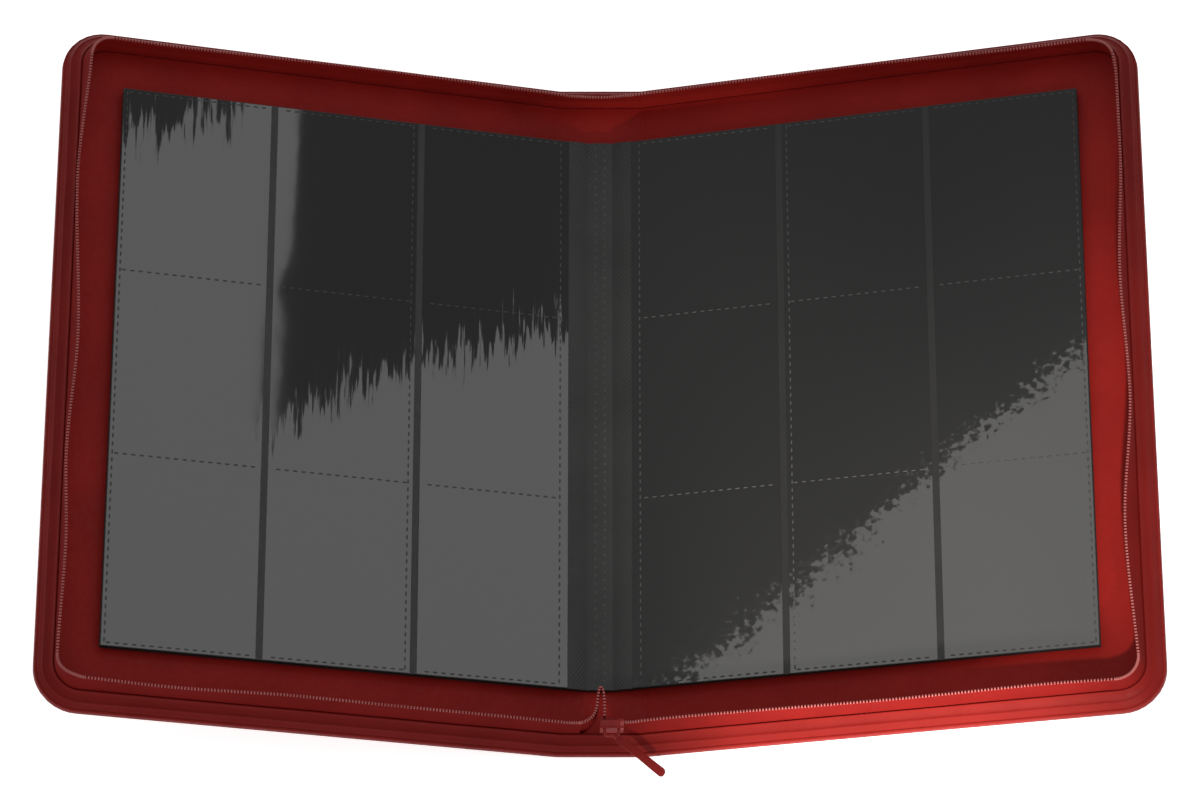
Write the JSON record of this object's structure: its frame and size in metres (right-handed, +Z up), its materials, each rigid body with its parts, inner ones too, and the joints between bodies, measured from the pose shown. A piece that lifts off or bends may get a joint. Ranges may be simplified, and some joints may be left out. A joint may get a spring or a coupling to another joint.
{
  "type": "trading card binder",
  "caption": "Zip-around side-loading binder for trading cards, open in a shallow V on its spine, with film-pocket pages and a zip slider with a pull tab.",
  "frame": {"origin": "middle of the flat underside of the spine", "axes": "+X towards the back (right) cover, +Y towards the top edge of the pages, +Z up, out of the open spread"},
  "size_m": [0.5248, 0.3657, 0.0891],
  "materials": {
    "cover_leatherette": "fine pebbled leatherette, low satin sheen",
    "lining_leatherette": "smooth leatherette with soft ripples, satin",
    "wall_leatherette": "smooth leatherette over two rows of piping, satin",
    "foam_padding": "thin open foam sheet",
    "grey_board": "matt compressed board",
    "zip_webbing": "fine ribbed woven tape",
    "zip_coil": "small moulded coil, semi-gloss",
    "embossed_gutter": "fine diamond embossing, matt",
    "clear_film": "thin clear film, glossy, with dashed welds",
    "black_page": "soft black sheet, semi-matt",
    "coated_metal": "red enamel, semi-gloss",
    "pull_leatherette": "smooth leatherette tab, satin"
  },
  "bodies": {
    "spine": {"spine_skin": "cover_leatherette", "spine_board": "grey_board", "spine_lining": "lining_leatherette", "binding_block": "embossed_gutter", "gutter_left": "embossed_gutter", "gutter_right": "embossed_gutter", "hinge_crease_left": "wall_leatherette", "hinge_crease_right": "wall_leatherette", "spine_gusset_top": "wall_leatherette", "spine_gusset_bottom": "wall_leatherette", "spine_zip_tape_top": "zip_webbing", "spine_zip_tape_bottom": "zip_webbing", "zip_tail": "zip_webbing"},
    "front_cover": {"front_cover_skin": "cover_leatherette", "front_cover_foam": "foam_padding", "front_cover_board": "grey_board", "front_cover_lining": "lining_leatherette", "front_cover_gusset": "wall_leatherette", "front_cover_zip_tape": "zip_webbing", "front_cover_zip_coil": "zip_coil"},
    "back_cover": {"back_cover_skin": "cover_leatherette", "back_cover_foam": "foam_padding", "back_cover_board": "grey_board", "back_cover_lining": "lining_leatherette", "back_cover_gusset": "wall_leatherette", "back_cover_zip_tape": "zip_webbing", "back_cover_zip_coil": "zip_coil"},
    "left_pages": {"page_left_02": "black_page", "page_left_03": "black_page", "page_left_04": "black_page", "page_left_05": "black_page", "page_left_06": "black_page", "page_left_07": "black_page", "page_left_08": "black_page", "page_left_09": "black_page", "page_left_10": "black_page"},
    "right_pages": {"page_right_02": "black_page", "page_right_03": "black_page", "page_right_04": "black_page", "page_right_05": "black_page", "page_right_06": "black_page", "page_right_07": "black_page", "page_right_08": "black_page", "page_right_09": "black_page", "page_right_10": "black_page"},
    "left_top_page": {"page_left_top_core": "black_page", "page_left_top_film_front_inner": "clear_film", "page_left_top_film_front_middle": "clear_film", "page_left_top_film_front_outer": "clear_film", "page_left_top_film_back_inner": "clear_film", "page_left_top_film_back_middle": "clear_film", "page_left_top_film_back_outer": "clear_film"},
    "right_top_page": {"page_right_top_core": "black_page", "page_right_top_film_front_inner": "clear_film", "page_right_top_film_front_middle": "clear_film", "page_right_top_film_front_outer": "clear_film"},
    "zip_end": {"zip_bottom_stop": "coated_metal"},
    "zip_slider": {"slider_body": "coated_metal", "slider_bridge": "coated_metal"},
    "zip_pull": {"pull_tab": "pull_leatherette"}
  },
  "joints": [
    {"name": "front_cover_hinge", "type": "hinge", "parent": "spine", "child": "front_cover", "pos_m": [-0.02, 0, 0.005], "axis": [0, -1, 0], "range_deg": [-74.4, 15.6], "deforming": ["hinge_crease_left", "spine_gusset_top", "spine_gusset_bottom", "spine_zip_tape_top", "spine_zip_tape_bottom"]},
    {"name": "back_cover_hinge", "type": "hinge", "parent": "spine", "child": "back_cover", "pos_m": [0.02, 0, 0.005], "axis": [0, 1, 0], "range_deg": [-74.4, 15.6], "deforming": ["hinge_crease_right"]},
    {"name": "left_pages_fold", "type": "hinge", "parent": "spine", "child": "left_pages", "pos_m": [-0.006, 0, 0.00865], "axis": [0, -1, 0], "range_deg": [-73, 15.3], "deforming": ["gutter_left"]},
    {"name": "right_pages_fold", "type": "hinge", "parent": "spine", "child": "right_pages", "pos_m": [0.006, 0, 0.00865], "axis": [0, 1, 0], "range_deg": [-73, 15.3], "deforming": ["gutter_right"]},
    {"name": "left_top_page_turn", "type": "hinge", "parent": "left_pages", "child": "left_top_page", "pos_m": [-0.006, 0, 0.00865], "axis": [0, 1, 0], "range_deg": [0, 149]},
    {"name": "right_top_page_turn", "type": "hinge", "parent": "right_pages", "child": "right_top_page", "pos_m": [0.006, 0, 0.00865], "axis": [0, -1, 0], "range_deg": [0, 24]},
    {"name": "zip_end_shift", "type": "slide", "parent": "back_cover", "child": "zip_end", "axis": [0.66, -0.7418, 0.1192], "range_m": [-0.004, 0.019], "deforming": ["zip_tail"]},
    {"name": "zip_slider_travel", "type": "slide", "parent": "zip_end", "child": "zip_slider", "axis": [-0.9659, 0, -0.2588], "range_m": [-0.215, 0]},
    {"name": "zip_pull_swing", "type": "hinge", "parent": "zip_slider", "child": "zip_pull", "pos_m": [0.0047, -0.1729, 0.0255], "axis": [-1, 0, 0], "range_deg": [-30, 140]}
  ],
  "couplings": [
    {"joint": "left_pages_fold", "follows": "front_cover_hinge", "ratio": 0.978},
    {"joint": "right_pages_fold", "follows": "back_cover_hinge", "ratio": 0.978},
    {"joint": "zip_end_shift", "follows": "back_cover_hinge", "m_per_rad": -0.01402}
  ]
}
